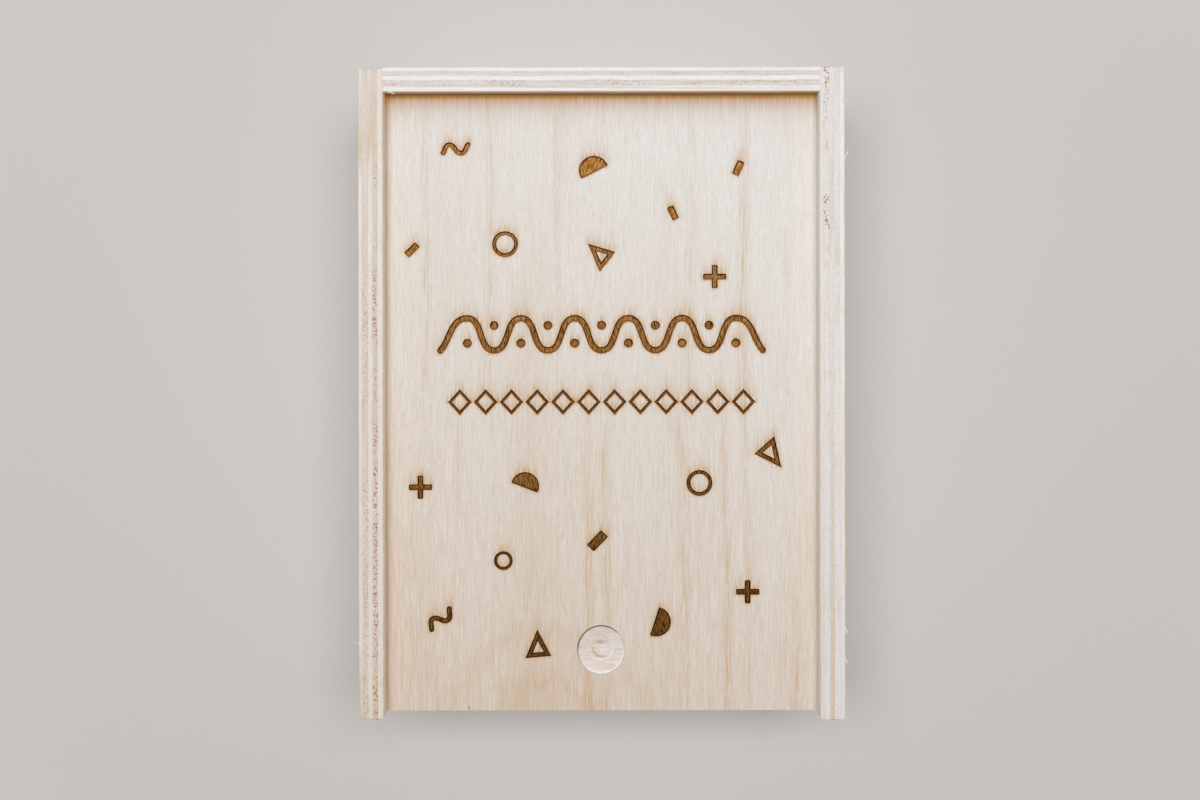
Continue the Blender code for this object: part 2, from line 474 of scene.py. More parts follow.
class MakeWalls(Operator):
    """Model the two side walls and the two end walls"""

    bl_idname = "keepsake.walls"
    bl_label = "Walls"

    def execute(self, context):
        sizes = context.scene.keepsake_sizes
        colours = context.scene.keepsake_colours
        left_ply, right_ply, end_ply = (
            plywood(
                f"{name}_wall_plywood", through, face, WALL, 1 - through, sheet,
                wall_looks(long_ply, cross_ply, sheet["tan_patches"]), inside,
            )
            for name, through, face, sheet, long_ply, cross_ply, inside in (
                (
                    "left", X, HALF_WIDTH, LEFT_SHEET,
                    # The left wall's warmer inner face is partly painted shade
                    colours.long_ply, colours.cross_ply, colours.inside,
                ),
                (
                    "right", X, HALF_WIDTH, RIGHT_SHEET,
                    colours.pale_long_ply, colours.pale_cross_ply, colours.pale_inside,
                ),
                (
                    "end", Y, HALF_LENGTH, END_SHEET,
                    # The end walls' tan inner face is partly painted shade
                    colours.white_ply, colours.pink_cross_ply, colours.shaded_end_inside,
                ),
            )
        )
        for node, side, trim, material in (
            ("left_side", -1, LEFT_TRIM, left_ply),
            ("right_side", 1, 0, right_ply),
        ):
            self.side_wall(sizes, node, side, trim, material)
        for node, end in (("front_wall", -1), ("back_wall", 1)):
            self.end_wall(sizes, node, end, end_ply)
        return {"FINISHED"}

    def side_wall(self, sizes, node, side, trim, material):
        """A full-length wall, grooved on its inner face from end to end."""
        low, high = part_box(node)
        low.y, high.y = low.y + trim, high.y - trim
        middle = (low.x + high.x) / 2

        def is_butted(edge):
            x, y, _ = edge.verts[0].co
            return runs_along(edge, Z) and y > 0 and side * x < side * middle

        board = add_board(f"{node}_board", low, high, material, sizes.arris, Y, is_butted)
        fray(board, low.y)
        cutters = grooves(sizes, low, high, X, side, material)
        cutters += brad_holes([name for name in BRADS if side_of(name) == side], material)
        carve(board, join(cutters))
        add_splinters(board, node)
        smooth(board)
        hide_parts(node)
        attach(board, "case")

    def end_wall(self, sizes, node, end, material):
        """A wall butted between the side walls, grooved on its inner face."""
        low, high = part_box(node)
        low.x, high.x = low.x - GLUE_FILL, high.x + GLUE_FILL
        board = add_board(
            f"{node}_board", low, high, material, sizes.arris, X,
            lambda edge: not runs_along(edge, X),
        )
        cutters = grooves(sizes, low, high, Y, end, material)
        cutters += brad_holes([name for name in BRADS if end * middle_of(name).y > 0], material)
        carve(board, join(cutters))
        add_splinters(board, node)
        smooth(board)
        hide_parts(node)
        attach(board, "case")


class MakeBase(Operator):
    """Model the base panel, held in the lower groove"""

    bl_idname = "keepsake.base"
    bl_label = "Base"

    def execute(self, context):
        sizes = context.scene.keepsake_sizes
        low, high = BASE
        material = plywood(
            "base_plywood", Z, high.z, high.z - low.z, Y, PANEL_SHEET, panel_looks()
        )
        board = add_board(
            "base_board", low, high, material, sizes.arris, Y, lambda edge: False
        )
        smooth(board)
        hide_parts("base_panel")
        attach(board, "case")
        return {"FINISHED"}


# Brads

BRADS = [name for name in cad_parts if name.startswith("brad_")]
BRAD_HOLE_PLAY = 0.00005
BRAD_DIAMETER = 0.0012
BRAD_HEAD_DIAMETER = 0.0020
BRAD_HEAD_THICKNESS = 0.0007
BRAD_POINT = 0.0018
BRAD_SIDES = 24

# How blunt the point is, as a share of the brad's diameter, and how wide the rim
# of its head is and how far it is dished
BRAD_POINT_SHARE = 0.12
BRAD_RIM = BRAD_HEAD_DIAMETER / 8
BRAD_DISH = BRAD_HEAD_DIAMETER / 30


def middle_of(node):
    """The middle of a node's box."""
    return sum(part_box(node), Vector()) / 2


def side_of(node):
    """Which side of the box a node is on: -1 for left, 1 for right."""
    return 1 if middle_of(node).x > 0 else -1


def add_brad(name, play, material):
    """The first brad. With play it is the hole round the brad instead, and runs
    out through the wall's face."""
    low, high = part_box(BRADS[0])
    middle = (low + high) / 2
    side = side_of(BRADS[0])
    head = high.x if side > 0 else low.x
    top = OVERRUN if play else 0
    bpy.ops.mesh.primitive_cylinder_add(
        vertices=BRAD_SIDES,
        radius=BRAD_HEAD_DIAMETER / 2 + play,
        depth=BRAD_HEAD_THICKNESS + play + top,
        location=(head + side * (top - BRAD_HEAD_THICKNESS - play) / 2, middle.y, middle.z),
        rotation=(0, pi / 2, 0),
    )
    brad = settle(name, material)
    edit(brad, "FACE", points_to(X, -side))
    bpy.ops.mesh.inset(thickness=(BRAD_HEAD_DIAMETER - BRAD_DIAMETER) / 2)
    extrude((-side * (high.x - low.x - BRAD_HEAD_THICKNESS - BRAD_POINT), 0, 0))
    extrude((-side * BRAD_POINT, 0, 0))
    bpy.ops.transform.resize(
        value=(1, BRAD_POINT_SHARE, BRAD_POINT_SHARE), center_override=middle
    )
    if not play:
        choose(brad, "FACE", points_to(X, side))
        bpy.ops.mesh.inset(thickness=BRAD_RIM, depth=BRAD_DISH)
    finish_edit()
    return brad


def set_brad(first, node):
    """A copy of the first brad, or of its hole, where the node is. On the box's
    other side it is turned round."""
    turn = 0
    place = middle_of(BRADS[0])
    if side_of(node) != side_of(BRADS[0]):
        turn = pi
        place = Vector((-place.x, -place.y, place.z))
    return add_copy(first, first.name, middle_of(node) - place, turn)


def brad_holes(nodes, material):
    """The tools that drill the holes of these brads."""
    first = add_brad("brad_hole", BRAD_HOLE_PLAY, material)
    holes = [set_brad(first, node) for node in nodes]
    bpy.data.objects.remove(first, do_unlink=True)
    return holes


class MakeBrads(Operator):
    """Model a brad, and set a copy of it in each of the corner joints' holes"""

    bl_idname = "keepsake.brads"
    bl_label = "Brads"

    def execute(self, context):
        first = add_brad("wire_brad", 0, drawn_steel())
        smooth(first)
        for node in BRADS:
            brad = first if node == BRADS[0] else set_brad(first, node)
            brad.name = brad.data.name = node.replace("brad", "wire_brad")
            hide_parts(node)
            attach(brad, "case")
        return {"FINISHED"}


# Lid

# Spacing of the points on the lid's face, and a distance too small to matter
GRID = 0.0010
TINY = 1e-6
ROUND_SIDES = 64

# The engraved pockets' walls slope this far inwards over this share of their
# depth, and the laser's beam rounds their corners
SLOPE = 0.00038
SLOPE_SHARE = 0.75
BEAM_RADIUS = 0.0004

# The scattered shapes. A half disc runs on past its middle by the extra.
CROSS_SPAN = 0.0072
CROSS_LINE = 0.0018
TRIANGLE_LINE = 0.0015
WAVELET_LINE = 0.00155
DISC_EXTRA = 0.0005

# The band's wave, with its dots, and the chain of lozenges below it
BAND_MIDDLE = 0.0180
BAND_LENGTH = 0.1000
BAND_WAVE = 0.0050
BAND_PERIODS = 6
DOT = 0.0028
DOT_RISE = 0.55
CHAIN_MIDDLE = -0.0030
CHAIN_LENGTH = 0.0960
CHAIN_HEIGHT = 0.0080
CHAIN_LINKS = 12
CHAIN_LINE = 0.0009
LINK_SHARE = 0.92

# The finger recess's floor, from its wall inwards: how wide each ring is, and
# how far its inner edge lies below its outer edge. The first two round its corner.
FLOOR_RINGS = (
    (0.00025, 0.00020),
    (0.00025, 0.00006),
    (0.0026, 0.0),
    (0.0006, 0.00016),
    (0.0003, 0.0),
    (0.0007, -0.00024),
    (0.0002, 0.0),
    (0.0006, 0.00030),
    (0.0003, 0.0),
    (0.0006, -0.00026),
    (0.0005, -0.00010),
)

# How far its innermost rings lie off its middle
BOSS_SHIFT = (0.0001, 0.0003, 0.0)

# How far the bore strayed from its place, and how much it is drawn out along the
# lid
RECESS_DRIFT = (-0.0003, -0.0005)
RECESS_STRETCH = 1.03

# Smoke round the engraving fades over this length, divided by these factors across
# the lid, towards its back and towards its front
SMOKE_REACH = 0.0009
SMOKE_ACROSS, SMOKE_BACK, SMOKE_FRONT = 2.2, 0.48, 4.0

# Painted shade along the back, the left and the right edge, where the walls shade the lid,
# warm as the shade of wood is: how strong, and over what length it fades
EDGE_SHADE = ((1.20, 0.0029), (0.46, 0.0012), (0.12, 0.0026))

# The lid's points whose smoke is worked out at once
BATCH = 2000

# A crack in the lid's front edge: its place, its width and length, how narrow it
# gets, and how it wanders
CRACK_X = -0.0408
CRACK_SIZE = (0.0006, 0.0017)
CRACK_TAPER = 0.15
CRACK_CUTS = 5
CRACK_WANDER = 0.15
CRACK_SEED = 3


def close_pocket(piece, depth):
    """Turn a flat outline on the lid's face into the tool that cuts its pocket.
    Its walls start upright, and then slope to the floor, and its top stands clear
    of the lid."""
    top = LID[1].z
    edit(piece, "FACE", lambda face: True)
    extrude((0, 0, (SLOPE_SHARE - 1) * depth))
    finish_edit()
    edit(piece, "FACE", points_to(Z, -1))
    bpy.ops.mesh.inset(thickness=SLOPE, depth=SLOPE_SHARE * depth)
    choose(piece, "VERT", lambda vert: abs(vert.co.z - top) < TINY)
    bpy.ops.transform.translate(value=(0, 0, OVERRUN))
    finish_edit()


def add_outline(name, sides, x, y, radius, material, turn=0.0):
    """A filled flat polygon on the lid's face."""
    bpy.ops.mesh.primitive_circle_add(
        vertices=sides,
        radius=radius,
        fill_type="NGON",
        location=(x, y, LID[1].z),
        rotation=(0, 0, turn),
    )
    return settle(name, material)


def round_corners(piece):
    """Round a flat outline's corners, as the laser's beam does."""
    edit(
        piece, "VERT",
        lambda vert: len(vert.link_edges) == 2 and vert.calc_edge_angle() > radians(30),
    )
    bpy.ops.mesh.bevel(offset=BEAM_RADIUS, segments=4, affect="VERTICES")
    bpy.ops.object.mode_set(mode="OBJECT")


def hollow(piece, line):
    """Leave only a line of this width along a flat outline."""
    edit(piece, "FACE", lambda face: True)
    bpy.ops.mesh.inset(thickness=line)
    bpy.ops.mesh.delete(type="FACE")
    finish_edit()


def add_ring(x, y, radius, line, material):
    """An engraved ring."""
    ring = add_outline("ring", ROUND_SIDES, x, y, radius, material)
    hollow(ring, line)
    return ring


def add_half_disc(x, y, dome, radius, material):
    """An engraved half disc, whose dome points along an angle."""
    disc = add_outline("half_disc", ROUND_SIDES, x, y, radius, material)
    edit(disc, "FACE", lambda face: True)
    bpy.ops.mesh.bisect(
        plane_co=(x - DISC_EXTRA * cos(dome), y - DISC_EXTRA * sin(dome), LID[1].z),
        plane_no=(cos(dome), sin(dome), 0),
        clear_inner=True,
    )
    finish_edit()
    round_corners(disc)
    return disc


def add_bar(x, y, turn, length, width, material):
    """An engraved bar."""
    bpy.ops.mesh.primitive_plane_add(size=1, location=(x, y, LID[1].z), rotation=(0, 0, turn))
    bpy.context.object.scale = (length, width, 1)
    return settle("bar", material)


def add_triangle(corners, line, material):
    """An engraved triangle outline between three corners."""
    triangle = add_outline("triangle", 3, 0, 0, 1, material)
    for number, (x, y) in enumerate(corners):
        edit(triangle, "VERT", lambda vert: vert.index == number)
        offset = Vector((x, y, LID[1].z)) - triangle.data.vertices[number].co
        bpy.ops.transform.translate(value=offset)
        bpy.ops.object.mode_set(mode="OBJECT")
    hollow(triangle, line)
    return triangle


def add_cross(reach, line, material):
    """An engraved upright cross in the middle of the lid."""
    cross = add_bar(0, 0, 0, line, line, material)
    for dx, dy in ((1, 0), (0, 1), (-1, 0), (0, -1)):
        end = Vector((dx * line / 2, dy * line / 2, LID[1].z))
        edit(cross, "EDGE", lambda edge: (edge_middle(edge) - end).length < TINY)
        extrude((dx * (reach - line) / 2, dy * (reach - line) / 2, 0))
        bpy.ops.object.mode_set(mode="OBJECT")
    round_corners(cross)
    return cross


def edge_middle(edge):
    """The middle of an edge."""
    return (edge.verts[0].co + edge.verts[1].co) / 2


def spread(first, places):
    """Copies of a piece modelled in the middle of the lid, one at each place."""
    copies = [add_copy(first, first.name, (x, y, 0)) for x, y in places]
    bpy.data.objects.remove(first, do_unlink=True)
    return copies


def add_stroke(name, points, line, depth, material):
    """A pocket along a smooth curve through the points, with round ends."""
    height = depth + OVERRUN
    middle = LID[1].z + (OVERRUN - depth) / 2
    bpy.ops.curve.primitive_bezier_curve_add(location=(0, 0, 0))
    path = bpy.context.object
    path.data.dimensions = "2D"
    path.data.fill_mode = "NONE"
    path.data.resolution_u = 16
    path.data.extrude = height / 2
    bends = path.data.splines[0].bezier_points
    bends.add(len(points) - 2)
    for bend, (x, y) in zip(bends, points):
        bend.co = (x, y, 0)
        bend.handle_left_type = bend.handle_right_type = "AUTO"
    path.location.z = middle
    select_only(path)
    bpy.ops.object.convert(target="MESH")
    stroke = settle(name, material)
    modify(stroke, "SOLIDIFY", thickness=line, offset=0, use_even_offset=True)
    for x, y in (points[0], points[-1]):
        bpy.ops.mesh.primitive_cylinder_add(
            vertices=ROUND_SIDES // 2, radius=line / 2, depth=height, location=(x, y, middle)
        )
        cap = settle("cap", material)
        modify(stroke, "BOOLEAN", operation="UNION", object=cap)
        bpy.data.objects.remove(cap, do_unlink=True)
    edit(stroke, "FACE", points_to(Z, -1))
    bpy.ops.mesh.dissolve_faces()
    bpy.ops.transform.translate(value=(0, 0, SLOPE_SHARE * depth))
    bpy.ops.mesh.inset(thickness=SLOPE, depth=SLOPE_SHARE * depth)
    finish_edit()
    return stroke


def turned(points, x, y, turn, scale):
    """Points in millimetres, turned and scaled, then set round a place."""
    return [
        (
            x + scale * MM * (px * cos(turn) - py * sin(turn)),
            y + scale * MM * (px * sin(turn) + py * cos(turn)),
        )
        for px, py in points
    ]


def confetti(depth, material):
    """The tools that cut the scattered shapes."""
    flat = []
    for x, y, radius, line in RINGS:
        flat.append(add_ring(x * MM, y * MM, radius * MM, line * MM, material))
    for x, y, dome, radius in HALF_DISCS:
        flat.append(add_half_disc(x * MM, y * MM, radians(dome), radius * MM, material))
    for x, y, turn, length, width in BARS:
        flat.append(add_bar(x * MM, y * MM, radians(turn), length * MM, width * MM, material))
        round_corners(flat[-1])
    for corners in TRIANGLES:
        places = [(x * MM, y * MM) for x, y in corners]
        flat.append(add_triangle(places, TRIANGLE_LINE, material))
    cross = add_cross(CROSS_SPAN, CROSS_LINE, material)
    flat += spread(cross, [(x * MM, y * MM) for x, y in CROSSES])
    for tool in flat:
        close_pocket(tool, depth)
    strokes = []
    for x, y, turn, scale in WAVELETS:
        points = turned(WAVELET_POINTS, x * MM, y * MM, radians(turn), scale)
        strokes.append(add_stroke("wavelet", points, scale * WAVELET_LINE, depth, material))
    return flat + strokes


def band(line, depth, material):
    """The tools that cut the band across the lid: a heavy wave with a dot in
    each bend, over a fine chain of lozenges."""
    half_period = BAND_LENGTH / BAND_PERIODS / 2
    start = -BAND_LENGTH / 2
    points = [
        (start + half_period * bend, BAND_MIDDLE + BAND_WAVE * (1 if bend % 2 else -1))
        for bend in range(2 * BAND_PERIODS + 1)
    ]
    tools = [add_stroke("wave", points, line, depth, material)]
    dots = [(x, BAND_MIDDLE - (y - BAND_MIDDLE) * DOT_RISE) for x, y in points[1:-1]]
    dot = add_outline("dot", ROUND_SIDES // 2, 0, 0, DOT / 2, material)
    pitch = CHAIN_LENGTH / CHAIN_LINKS
    lozenge = add_outline("lozenge", 4, 0, 0, 1, material)
    lozenge.scale = (pitch * LINK_SHARE / 2, CHAIN_HEIGHT / 2, 1)
    settle("lozenge", material)
    hollow(lozenge, CHAIN_LINE)
    links = [
        (pitch * (link + 0.5) - CHAIN_LENGTH / 2, CHAIN_MIDDLE) for link in range(CHAIN_LINKS)
    ]
    flat = spread(dot, dots) + spread(lozenge, links)
    for tool in flat:
        close_pocket(tool, depth)
    return tools + flat


def recess_tool(sizes, middle, material):
    """The tool that bores the finger recess, with the rings and the low boss that
    the bit leaves in its floor."""
    wall = sizes.recess_depth - sum(drop for _, drop in FLOOR_RINGS[:2])
    bpy.ops.mesh.primitive_cylinder_add(
        vertices=2 * ROUND_SIDES,
        radius=sizes.recess_diameter / 2,
        depth=wall + OVERRUN,
        location=middle + Vector((0, 0, (OVERRUN - wall) / 2)),
    )
    bpy.context.object.scale.y = RECESS_STRETCH
    tool = settle("recess", material)
    edit(tool, "FACE", points_to(Z, -1))
    for number, (width, drop) in enumerate(FLOOR_RINGS):
        bpy.ops.mesh.inset(thickness=width, depth=drop)
        if number == len(FLOOR_RINGS) // 2:
            bpy.ops.transform.translate(value=BOSS_SHIFT)
    finish_edit()
    return tool


def lid_blank(lead, material):
    """The lid before it is cut. Its face is a fine grid, so that the smoke round
    the engraving can be laid on it."""
    low, high = LID
    width = high.x - low.x - 2 * lead
    length = high.y - low.y - lead
    bpy.ops.mesh.primitive_grid_add(
        x_subdivisions=round(width / GRID),
        y_subdivisions=round(length / GRID),
        size=1,
        location=(0, low.y + length / 2, high.z),
    )
    bpy.context.object.scale = (width, length, 1)
    lid = settle("lid_board", material)
    pivot = (0, low.y, high.z)
    flare = (1 + 2 * lead / width, 1 + lead / length, 1)
    edit(lid, "EDGE", lambda edge: edge.is_boundary)
    extrude((0, 0, -lead))
    bpy.ops.transform.resize(value=flare, center_override=pivot)
    extrude((0, 0, 2 * lead - LID_THICKNESS))
    extrude((0, 0, -lead))
    bpy.ops.transform.resize(value=[1 / share for share in flare], center_override=pivot)
    bpy.ops.mesh.edge_face_add()
    finish_edit()
    return lid


def lay_smoke(lid, burnt):
    """Store on each point how much smoke of the engraving lies there, and how
    much painted shade from the walls lies there along the lid's back, left and right
    edges. Smoke drifts towards the back wall, so it reaches further that way."""
    mesh = lid.data
    corners = np.empty(len(mesh.vertices) * 3)
    mesh.vertices.foreach_get("co", corners)
    corners = corners.reshape(-1, 3)
    slot = list(mesh.materials).index(burnt)
    rims = {
        corner
        for face in mesh.polygons
        if face.material_index == slot
        for corner in face.vertices
        if LID[1].z - corners[corner, Z] < TINY
    }
    rim = corners[sorted(rims), :2]
    smoke = np.zeros(len(corners))
    for start in range(0, len(corners), BATCH):
        away = corners[start : start + BATCH, None, :2] - rim[None]
        drift = np.where(away[..., Y] > 0, SMOKE_BACK, SMOKE_FRONT)
        reach = np.hypot(away[..., X] * SMOKE_ACROSS, away[..., Y] * drift).min(axis=1)
        smoke[start : start + BATCH] = np.exp(-reach / SMOKE_REACH)
    # Painted shade from the back, the left and the right wall
    back = HALF_LENGTH - WALL - corners[:, Y]
    left = corners[:, X] + HALF_WIDTH - WALL
    right = HALF_WIDTH - WALL - corners[:, X]
    edge_shade = sum(
        most * np.exp(-abs(away) / reach)
        for away, (most, reach) in zip((back, left, right), EDGE_SHADE)
    )
    for name, values in (("smoke", smoke), ("edge_shade", np.minimum(edge_shade, 1))):
        layer = mesh.attributes.new(name, "FLOAT", "POINT")
        layer.data.foreach_set("value", values.astype(np.float32))


def crack_tool(material):
    """The tool that opens a short crack in the lid's front edge, narrow at its end."""
    low, high = LID
    width, length = CRACK_SIZE
    bpy.ops.mesh.primitive_cube_add(
        size=1,
        location=(CRACK_X, low.y, (low.z + high.z) / 2),
        scale=(width, 2 * length, LID_THICKNESS + 2 * OVERRUN),
    )
    tool = settle("crack", material)
    edit(tool, "VERT", lambda vert: vert.co.y > low.y)
    bpy.ops.transform.resize(
        value=(CRACK_TAPER, 1, 1), center_override=(CRACK_X - width, low.y, 0)
    )
    choose(tool, "FACE", lambda face: abs(face.normal.x) > 0.5)
    bpy.ops.mesh.subdivide(number_cuts=CRACK_CUTS, fractal=CRACK_WANDER, seed=CRACK_SEED)
    finish_edit()
    return tool


class MakeLid(Operator):
    """Model the lid with its engraving and its finger recess"""

    bl_idname = "keepsake.lid"
    bl_label = "Lid"

    def execute(self, context):
        sizes = context.scene.keepsake_sizes
        sheet = plywood(
            "lid_plywood", Z, LID[1].z, LID_THICKNESS, Y, PANEL_SHEET, panel_looks(), is_lid=True
        )
        burnt = burnt_wood()
        lid = lid_blank(sizes.lead, sheet)
        tools = confetti(sizes.engraving, burnt) + band(sizes.line, sizes.engraving, burnt)
        carve(lid, join(tools))
        middle = Vector((0, LID[0].y + sizes.recess_setback, LID[1].z))
        middle += Vector((*RECESS_DRIFT, 0))
        bored = bored_wood(middle, sizes.recess_diameter / 2)
        carve(lid, recess_tool(sizes, middle, bored))
        carve(lid, crack_tool(sheet))
        lay_smoke(lid, burnt)
        smooth(lid)
        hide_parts("sliding_lid")
        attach(lid, "lid")
        return {"FINISHED"}


# Materials

# How thick the glue between two plies is, as a share of the sheet's thickness
GLUE_SHARE = 0.012

# Moves the cross plies' grain, so that it isn't the long plies' own
CROSS_OFFSET = (3, 5, 7)

# The walls' long plies turn tan between these places along the box, which is partly
# the veneer's tone and partly painted sheen that leaves the back paler
SHEEN_AND_TAN_REACH = (0.09, -0.08)

# The inner veneer starts between these shares of a wall's thickness. Painted shade,
# where the lid meets the wall, darkens it up to the first distance from the lid's face,
# and most of all within the second.
SKIN = (0.965, 0.985)
GROOVE_SHADE_REACH = (0.0062, 0.0008)

# The engraving's burn deepens between these places along the lid
DEEPER_BURN = (0.075, -0.062)

# The heartwood by the lid's front edge: its middle, one over its reach along
# each axis, and how many arcs it has
HEART_PLACE = (-0.017, -0.104, 0.0)
HEART_SHAPE = (1 / 0.042, 1 / 0.040, 0.0)
HEART_ARCS = 5.0

# Painted shade and painted highlight on the bit's rings in the finger recess, from its
# middle out, as shares of its radius: how tan the inner arc of painted shade, how tan
# the outer arc of painted shade and how white the arc of painted highlight is.
# Then the side that each is on.
BIT_SHADE_AND_HIGHLIGHT = (
    (0.0, (0.0, 0.0, 0.9)),
    (0.16, (0.0, 0.0, 0.7)),
    (0.27, (0.0, 0.0, 0.0)),
    (0.34, (0.65, 0.0, 0.0)),
    (0.40, (0.45, 0.15, 0.0)),
    (0.44, (0.0, 0.55, 0.7)),
    (0.49, (0.0, 0.2, 1.0)),
    (0.55, (0.0, 0.0, 0.0)),
)
SHADE_AND_HIGHLIGHT_SIDES = ((-0.6, -0.8, 0.0), (-0.2, 1.0, 0.0), (0.5, -0.85, 0.0))

# Painted shade of the bit's centre pit, on its back side: its place, one over how it
# is drawn out, between which distances it fades, and how far the fibres blur it
PIT_SHADE_SPOT = (-0.0003, 0.0020, 0.0)
PIT_SHADE_SHAPE = (0.36, 0.95, 1.0)
PIT_SHADE_EDGE = (0.0014, 0.0006)
PIT_SHADE_BLUR = 0.0012

# Painted shade on the recess's rim, where its back wall shades the floor: which side
# it is on, how far off the recess's middle its ring lies, and between which distances
# from there it starts. The other side takes a painted highlight, where the lit wall
# shows, which starts between the last distances.
RIM_SHADE_SIDE = (-0.5, 0.87, 0.0)
RIM_SHADE_SHIFT = (0.0, -0.0004, 0.0)
RIM_SHADE_RING = (0.00695, 0.0073)
LIT_RIM_RING = (0.0069, 0.0073)


def add(tree, kind, *inputs, stops=(), **settings):
    """Add a shader node with its settings. inputs, in the order that the node
    shows them, are values or the nodes that feed them, and None leaves one as it
    is. stops are a colour ramp's places and colours."""
    node = tree.nodes.new("ShaderNode" + kind)
    for name, value in settings.items():
        setattr(node, name, value)
    if stops:
        marks = node.color_ramp.elements
        while len(marks) < len(stops):
            marks.new(1.0)
        for mark, (place, colour) in zip(marks, stops):
            mark.position, mark.color = place, colour
    for socket, value in zip([s for s in node.inputs if s.enabled], inputs):
        if isinstance(value, bpy.types.Node):
            value = result(value)
        if isinstance(value, bpy.types.NodeSocket):
            tree.links.new(value, socket)
        elif value is not None:
            socket.default_value = value
    return node


def result(node):
    """The output that a node shows first."""
    return next(socket for socket in node.outputs if socket.enabled)


def new_material(name, roughness, **sockets):
    """A material with one Principled BSDF, and its node tree and shader."""
    material = bpy.data.materials.new(name)
    material.use_nodes = True
    tree = material.node_tree
    shader = tree.nodes["Principled BSDF"]
    shader.inputs["Roughness"].default_value = roughness
    for socket, value in sockets.items():
        shader.inputs[socket].default_value = value
    return material, tree, shader


def finish_material(tree, shader, colour, bump):
    """Link a material's colour and its bump."""
    tree.links.new(result(colour), shader.inputs["Base Color"])
    tree.links.new(result(bump), shader.inputs["Normal"])


def grey(level):
    """An opaque grey."""
    return (level, level, level, 1.0)


def squeezed(axis, share):
    """A scale that draws a pattern out along an axis."""
    return [share if other == axis else 1.0 for other in (X, Y, Z)]


def peeled_rings(tree, drawn_out):
    """Growth rings, cut nearly flat, which lie 8 to 20 mm apart."""
    swell = add(tree, "TexNoise", drawn_out, 26.0, 1.5)
    turns = add(tree, "Math", swell, 7.0, operation="MULTIPLY")
    ring = add(tree, "Math", turns, operation="FRACT")
    rise = add(tree, "MapRange", ring, 0.80, 0.97, interpolation_type="SMOOTHSTEP")
    drop = add(tree, "MapRange", ring, 0.97, 1.0, 1.0, 0.0)
    return add(tree, "Math", rise, drop, operation="MULTIPLY")


def lid_rings(tree, place, split):
    """The lid's own growth rings. Each is a bundle of tan fibres, which sways and
    comes and goes along the lid."""
    slow = add(tree, "Mapping", place, None, None, squeezed(Y, 0.35))
    sway = add(tree, "TexNoise", slow, 38.0, 2.0)
    moved = add(tree, "Math", sway, RING_SWAY, split.outputs[X], operation="MULTIPLY_ADD")
    share = add(
        tree, "MapRange", moved, RING_SWAY / 2 - HALF_WIDTH, RING_SWAY / 2 + HALF_WIDTH
    )
    halves = []
    for rings in (BACK_RINGS, FRONT_RINGS):
        stops = []
        for middle, strength in rings:
            for offset, level in (
                (-RING_REACH, 0.0), (-RING_CORE, strength), (RING_CORE, strength),
                (RING_REACH, 0.0),
            ):
                place_share = ((middle + offset) * MM + HALF_WIDTH) / (2 * HALF_WIDTH)
                stops.append((place_share, grey(level)))
        halves.append(add(tree, "ValToRGB", share, stops=stops))
    front = add(tree, "MapRange", split.outputs[Y], *RINGS_SWAP)
    rings = add(tree, "Mix", front, *halves, data_type="RGBA")
    fibres = add(tree, "Mapping", place, None, None, squeezed(Y, 0.03))
    fibre = add(tree, "TexNoise", fibres, 2200.0, 3.0, 0.7)
    streak = add(tree, "MapRange", fibre, 0.40, 0.64, 0.0, 1.3)
    return add(tree, "Math", rings, streak, operation="MULTIPLY")


def lid_tint(tree, place, split):
    """How the lid's veneer turns from white at its back right corner to tan at its
    front left one, and most of all in a patch of heartwood by the middle of its
    front edge, with nested arcs."""
    across = add(tree, "Math", split.outputs[X], 0.4, split.outputs[Y], operation="MULTIPLY_ADD")
    even = add(tree, "MapRange", across, HALF_LENGTH, -HALF_LENGTH, 0.0, 0.33)
    fibres = add(tree, "Mapping", place, None, None, squeezed(Y, 0.045))
    fibre = add(tree, "TexNoise", fibres, 2600.0, 3.0, 0.6)
    streak = add(tree, "MapRange", fibre, 0.36, 0.64, 0.6, 1.4)
    slow = add(tree, "Math", even, streak, operation="MULTIPLY")
    away = add(tree, "VectorMath", place, HEART_PLACE, operation="SUBTRACT")
    shaped = add(tree, "VectorMath", away, HEART_SHAPE, operation="MULTIPLY")
    reach = add(tree, "VectorMath", shaped, operation="LENGTH")
    heart = add(tree, "MapRange", reach, 1.0, 0.2, 0.0, 0.10, interpolation_type="SMOOTHSTEP")
    drawn_out = add(tree, "Mapping", place, None, None, squeezed(Y, 0.25))
    wander = add(tree, "TexNoise", drawn_out, 90.0, 6.0, 0.7)
    bent = add(tree, "Math", wander, 0.5, reach, operation="MULTIPLY_ADD")
    turns = add(tree, "Math", bent, HEART_ARCS, operation="MULTIPLY")
    arc = add(tree, "Math", turns, 1.0, operation="PINGPONG")
    line = add(tree, "MapRange", arc, 0.4, 1.0, interpolation_type="SMOOTHSTEP")
    near = add(tree, "MapRange", reach, 1.3, 0.6, 0.0, 0.08, interpolation_type="SMOOTHSTEP")
    arcs = add(tree, "Math", line, near, operation="MULTIPLY")
    tint = add(tree, "Math", slow, heart, operation="ADD")
    return add(tree, "Math", tint, arcs, operation="ADD")


